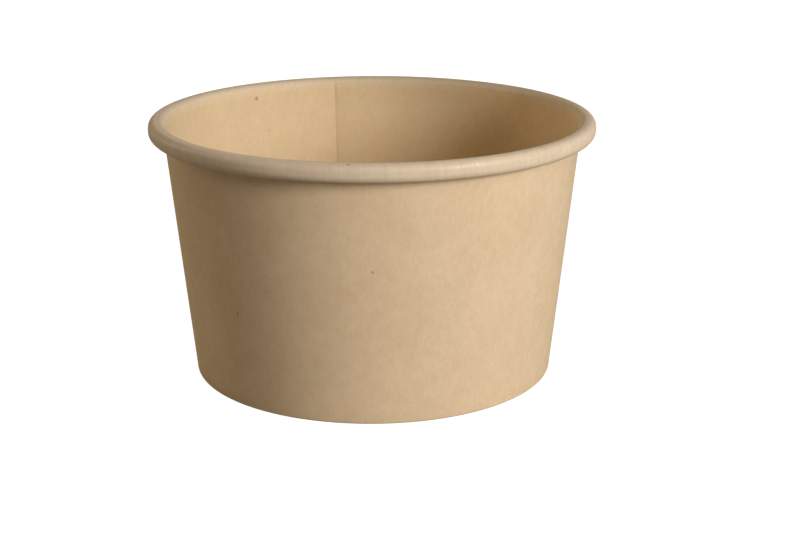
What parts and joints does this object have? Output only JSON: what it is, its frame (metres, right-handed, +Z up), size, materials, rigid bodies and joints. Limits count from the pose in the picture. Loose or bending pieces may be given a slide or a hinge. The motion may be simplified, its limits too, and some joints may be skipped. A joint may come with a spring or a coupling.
{
  "type": "paper soup cup",
  "caption": "Squat tapered paperboard soup cup with a rolled rim that takes a lid, a lapped side seam and a recessed bottom disc sealed into a folded hem.",
  "frame": {"origin": "centre of the standing ring, on the table", "axes": "+Z up the cup's axis; the inner edge of the side seam is at the back, 13 degrees from +Y towards -X"},
  "size_m": [0.098, 0.098, 0.057],
  "materials": {
    "wall_board": "matte",
    "bottom_board": "matte"
  },
  "bodies": {
    "root": {"side_wall": "wall_board", "bottom_disc": "bottom_board"}
  },
  "joints": []
}
